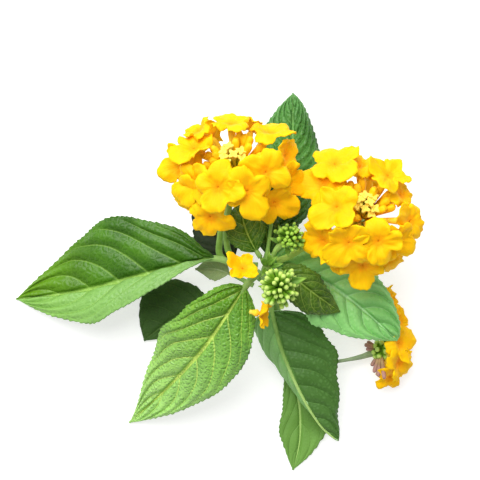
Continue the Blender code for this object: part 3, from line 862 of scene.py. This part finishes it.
def make_petiole(name):
    """The leaf's stalk, which runs on below the blade as its midrib."""
    midrib, blade_start, left_half, _ = LEAVES[name]
    slimness = NARROW_SHARE if left_half[0] < NARROW_LEAF else 1
    points, radii = [], []
    for i in range(PETIOLE_STEPS + 1):
        share = i / PETIOLE_STEPS * PETIOLE_END
        place, tangent = along(midrib, share)
        if name == FOLDED_LEAF:
            radius = max(FOLD_END_RADIUS, FOLD_RADIUS - FOLD_TAPER * share)
            sink = FOLD_SINK
        else:
            radius = max(MIDRIB_RADIUS, PETIOLE_RADIUS * (1 - share) ** 0.8) * slimness
            sink = (radius * 0.9 + MIDRIB_SINK) * smooth(blade_start * 0.6, blade_start + 0.06, share)
        centre = place - upward(tangent) * sink
        centre.z = max(centre.z, radius * (1 + PETIOLE_RIBS) + GAP_OVER_FLOOR)
        points.append(centre)
        radii.append(radius)
    bm = stalk_mesh(points, radii, PETIOLE_STEPS, PETIOLE_RIBS, PETIOLE_SIDES)
    finish_piece(f"{name}_petiole", bm, [GREEN_MATERIALS["petiole"]])


def make_stalk(name, points, replaces=()):
    ribs = STEM_RIBS if name == "stem" else STALK_RIBS
    bm = stalk_mesh([p[:3] for p in points], [p[3] for p in points], STALK_STEPS, ribs, STALK_SIDES)
    look = GREEN_MATERIALS[STALK_LOOKS.get(name, "peduncle")]
    finish_piece(f"{name}_skin", bm, [look], replaces)


# Florets

def lobed_limb(rng):
    """Four lobes drawn at random: start and width in degrees, size, bend in millimetres, shape of the tip."""
    widths = [width * rng.uniform(0.9, 1.1) for width, _ in LOBES]
    lobes, start = [], -widths[0] / 2
    for width, (_, size) in zip(widths, LOBES):
        width *= 360 / sum(widths)
        size *= rng.uniform(0.88, 1.12)
        bend = rng.uniform(-1.9, 0.8)
        point = rng.uniform(-0.1, 0.08)
        lobes.append((start, width, size, bend, point))
        start += width
    return lobes


def lobe_at(lobes, angle):
    """The lobe at an angle, and the share of its width there."""
    degrees = math.degrees(angle)
    for lobe in lobes:
        within = (degrees - lobe[0]) % 360 / lobe[1]
        if within < 1:
            return lobe, within
    return lobes[0], 0


def round_noise(angle, frequency, depth):
    """Noise that closes on itself around a circle."""
    return noise.noise(Vector((math.cos(angle) * frequency, math.sin(angle) * frequency, depth)))


def limb_shape(lobes, angle, s, radius, ruffle, seed):
    """How far out and how high over the throat the limb is at an angle, s of the way to its margin."""
    (_, _, size, bend, point), within = lobe_at(lobes, angle)
    edge = 1 - NOTCH_DEPTH + NOTCH_DEPTH * math.sin(math.pi * within) ** LOBE_SQUARENESS
    edge *= size * (1 + point * math.exp(-((within - 0.5) / 0.13) ** 2))
    edge *= 1 + FRAY * round_noise(angle, 7, seed * 3.1)
    inner, inner_rise, _ = THROAT_PROFILE[-1]
    reach = inner + (radius * (1 - (1 - edge) * s**1.2) - inner) * s
    rise = inner_rise + CUP_RISE * s - CUP_FALL * s**3
    rise += bend * s**2 * math.sin(math.pi * within) ** 0.8
    rise -= NOTCH_SINK * s * math.cos(math.pi * within) ** 4
    rise += RUFFLE_HEIGHT * s**2 * math.sin(9 * angle + ruffle) * noise.noise(Vector((3 * angle, seed, 2)))
    rise += WAVE_HEIGHT * s * round_noise(angle, 1.6, seed * 1.7 + s)
    rise += CREASE_HEIGHT * s * round_noise(angle, 4.5, seed + s * 2)
    return reach, rise


def tube_rings(foot, throat, facing, x):
    """Rings of the slim bowed tube, each with its share of the floret's colour run."""
    axis = (throat - foot).normalized()
    middle = foot.lerp(throat - facing * 1.2, 0.62) + axis * 0.5
    rings = []
    for i in range(TUBE_STEPS + 1):
        s = i / TUBE_STEPS
        centre = foot * (1 - s) ** 2 + middle * 2 * s * (1 - s) + (throat - facing * 0.7) * s**2
        girth = TUBE_FOOT_RADIUS + 0.36 * smooth(0.2, 0.8, s) - 0.22 * smooth(0.85, 1.0, s)
        way = axis.lerp(facing, smooth(0.5, 1.0, s)).normalized()
        side = (x - way * x.dot(way)).normalized()
        rings.append((ring_of(centre, side, way.cross(side), girth, FLORET_SIDES), TUBE_SHARE * s))
    return rings


def make_floret(name, foot, throat, facing, outward, radius, turn, seed):
    """One open floret: a slim bowed tube that flares into a cupped and wavy limb of four lobes."""
    rng = random.Random(seed)
    lobes = lobed_limb(rng)
    turn = math.radians(turn + rng.uniform(-12, 12))
    ruffle = rng.uniform(0, 6.28)
    lip = (outward - facing * outward.dot(facing)).normalized()
    x = lip * math.cos(turn) + facing.cross(lip) * math.sin(turn)
    y = facing.cross(x)
    angles = [2 * math.pi * j / FLORET_SIDES for j in range(FLORET_SIDES)]
    rings = tube_rings(foot, throat, facing, x)
    for reach, rise, share in THROAT_PROFILE:
        rings.append((ring_of(throat + facing * rise, x, y, reach, FLORET_SIDES), share))
    inner_share = THROAT_PROFILE[-1][2]
    for i in range(1, LIMB_STEPS + 1):
        s = i / LIMB_STEPS
        ring = []
        for angle in angles:
            reach, rise = limb_shape(lobes, angle, s, radius, ruffle, seed)
            ring.append(throat + (x * math.cos(angle) + y * math.sin(angle)) * reach + facing * rise)
        rings.append((ring, inner_share + (1 - inner_share) * s))
    bm = bmesh.new()
    loops = grow(bm, [ring for ring, _ in rings])
    uv = bm.loops.layers.uv.new("petal")
    for verts, (_, share) in zip(loops, rings):
        for v, angle in zip(verts, angles):
            for loop in v.link_loops:
                loop[uv].uv = (0.5 + 0.5 * share * math.cos(angle), 0.5 + 0.5 * share * math.sin(angle))
    petals = finish_piece(f"{name}_petals", bm, PETAL_FACES, [name],
                          lambda: loops[-1][0].link_faces[0].normal.dot(facing) < 0)
    add_wall(petals, PETAL_THICKNESS)


def make_head(head):
    centre = top_of(f"peduncle_{head}")
    for number, row in enumerate(HEADS[head], 1):
        azimuth, elevation, reach, face_azimuth, face_elevation, radius, turn = row
        way = direction(azimuth, elevation)
        outward = direction(azimuth, elevation - LIP_DROOP)
        facing = direction(face_azimuth, face_elevation)
        make_floret(f"floret_{head}_{number:02d}", centre + way * TUBE_FOOT_DISTANCE, centre + way * reach,
                    facing, outward, radius, turn, number + 40 * len(head))


def make_fallen(name):
    foot, way, length, radius, turn = FALLEN[name]
    way = Vector(way).normalized()
    foot = Vector(foot)
    make_floret(name, foot, foot + way * length, way, FALLEN_LIP, radius, turn, len(name) + 7)


# Buds and bracts

def add_bud(bm, foot, way, length, radius, profile, sides, twist):
    """A closed bud: a slim neck, then a four-cornered head folded shut."""
    x, y = across(way)
    rings = []
    for share, girth, corners in profile:
        rings.append(ring_of(foot + way * (length * share), x, y, radius * girth, sides, corners, twist))
    loops = grow(bm, rings, cap_start=True, cap_end=True)
    set_lengths(bm, loops, [row[0] for row in profile])


def make_closed_buds(head):
    """The cream buds, which stand for the solid, and the orange ones around them."""
    centre = top_of(f"peduncle_{head}")
    number = 0
    for kind, rows in CLOSED_BUDS[head].items():
        profile, sides, radius = CLOSED_BUD_SHAPES[kind]
        bm = bmesh.new()
        for azimuth, elevation, reach in rows:
            way = direction(azimuth, elevation)
            foot = centre + way * CLOSED_BUD_FOOT
            add_bud(bm, foot, way, reach - CLOSED_BUD_FOOT, radius, profile, sides, number * TWIST_STEP)
            number += 1
        replaced = [f"buds_{head}"] if kind == "cream" else []
        finish_piece(f"buds_{head}_{kind}", bm, [GREEN_MATERIALS[f"{kind} bud"]], replaced)


def make_green_head(head):
    """Small buds spaced evenly around a ball, along a golden spiral."""
    azimuth, elevation, count, shortest, longest, radius, look = GREEN_HEADS[head]
    aim = direction(azimuth, elevation)
    centre = top_of(f"peduncle_bud_{head}") + aim * GREEN_HEAD_OFFSET
    x, y = across(aim)
    rng = random.Random(count)
    bm = bmesh.new()
    for i in range(count):
        polar = GREEN_HEAD_SPREAD * math.sqrt((i + 0.5) / count)
        turn = i * GOLDEN_ANGLE + rng.uniform(-0.2, 0.2)
        polar += rng.uniform(-0.09, 0.09)
        way = aim * math.cos(polar) + (x * math.cos(turn) + y * math.sin(turn)) * math.sin(polar)
        length = rng.uniform(shortest, longest)
        girth = radius * rng.uniform(0.85, 1.15)
        foot = centre + way * GREEN_BUD_FOOT
        add_bud(bm, foot, way, length, girth, ROUND_PROFILE, GREEN_BUD_SIDES, rng.uniform(0, 1))
    finish_piece(f"bud_head_{head}_buds", bm, [GREEN_MATERIALS[look]], [f"bud_head_{head}"])


def make_bracts(name):
    """Small pointed leaves, folded a little along the middle."""
    steps, steps_across = BRACT_STEPS
    bm = bmesh.new()
    uv = bm.loops.layers.uv.new("length")
    for foot, tip, width, arch in BRACTS[name]:
        foot, tip = Vector(foot), Vector(tip)
        way = (tip - foot).normalized()
        side = way.cross(UP).normalized()
        grid = bmesh.ops.create_grid(bm, x_segments=steps, y_segments=steps_across, size=1)["verts"]
        for v in grid:
            t, across_share = (v.co.x + 1) / 2, v.co.y
            for loop in v.link_loops:
                loop[uv].uv = (t, 0.5)
            reach = width * max(0.06, math.sin(math.pi * t**0.8)) * across_share
            lift = arch * math.sin(math.pi * t) + BRACT_FOLD * abs(reach)
            v.co = foot.lerp(tip, t) + side * reach + way.cross(-side) * lift
    leaves = finish_piece(name, bm, [GREEN_MATERIALS["bract"]])
    add_wall(leaves, BRACT_THICKNESS)


def make_side_remains(kind):
    look, rows = SIDE_REMAINS[kind]
    centre = top_of("peduncle_side")
    bm = bmesh.new()
    for azimuth, elevation, length, radius in rows:
        way = direction(azimuth, elevation)
        add_bud(bm, centre, way, length, radius, ROUND_PROFILE, SIDE_BUD_SIDES, azimuth)
    finish_piece(f"side_head_{kind}", bm, [GREEN_MATERIALS[look]])


# Stage and camera

def make_floor():
    """A wide pale surface."""
    bm = bmesh.new()
    bmesh.ops.create_grid(bm, x_segments=1, y_segments=1, size=FLOOR_HALF_SIZE * MM)
    bmesh.ops.translate(bm, vec=(0, 0, FLOOR_HEIGHT * MM), verts=bm.verts)
    mesh = bpy.data.meshes.new("floor")
    bm.to_mesh(mesh)
    bm.free()
    floor = bpy.data.objects.new("floor", mesh)
    add_to_scene(floor)
    look = bpy.data.materials.new("pale floor")
    look.use_nodes = True
    shader = look.node_tree.nodes["Principled BSDF"]
    shader.inputs["Base Color"].default_value = (FLOOR_SHADE, FLOOR_SHADE, FLOOR_SHADE, 1)
    shader.inputs["Emission Color"].default_value = (1, 1, 1, 1)
    shader.inputs["Emission Strength"].default_value = FLOOR_GLOW
    shader.inputs["Roughness"].default_value = 0.95
    shader.inputs["Specular IOR Level"].default_value = 0.1
    mesh.materials.append(look)


def make_light():
    """An even sky and a broad soft light from the upper left."""
    world = bpy.data.worlds.new("studio")
    bpy.context.scene.world = world
    world.use_nodes = True
    sky = world.node_tree.nodes["Background"]
    sky.inputs["Color"].default_value = (1, 1, 1, 1)
    sky.inputs["Strength"].default_value = SKY_STRENGTH

    lamp = bpy.data.lights.new("key", "AREA")
    lamp.shape = "SQUARE"
    lamp.size = KEY_SIZE * MM
    lamp.energy = KEY_WATTS
    key = bpy.data.objects.new("key", lamp)
    place = Vector([value * MM for value in KEY_PLACE])
    key.location = place
    key.rotation_euler = (-place).to_track_quat("-Z", "Y").to_euler()
    add_to_scene(key)


def make_camera():
    data = bpy.data.cameras.new("camera")
    data.sensor_width = SENSOR_WIDTH
    data.lens = SENSOR_WIDTH * CAMERA_HEIGHT / VIEW_WIDTH
    camera = bpy.data.objects.new("camera", data)
    camera.location = (VIEW_CENTRE[0] * MM, VIEW_CENTRE[1] * MM, CAMERA_HEIGHT * MM)
    add_to_scene(camera)
    bpy.context.scene.camera = camera
    bpy.context.scene.view_settings.view_transform = "Standard"


make_camera()
make_floor()
make_light()
for leaf_name in LEAVES:
    make_blade(leaf_name)
    make_petiole(leaf_name)
for stalk_name, stalk_points in STALKS.items():
    make_stalk(stalk_name, stalk_points, [stalk_name])
for stalk_name, stalk_points in YOUNG_STALKS.items():
    make_stalk(stalk_name, stalk_points)
for make, table in (
    (make_head, HEADS), (make_closed_buds, CLOSED_BUDS), (make_green_head, GREEN_HEADS),
    (make_bracts, BRACTS), (make_side_remains, SIDE_REMAINS), (make_fallen, FALLEN),
):
    for row_name in table:
        make(row_name)
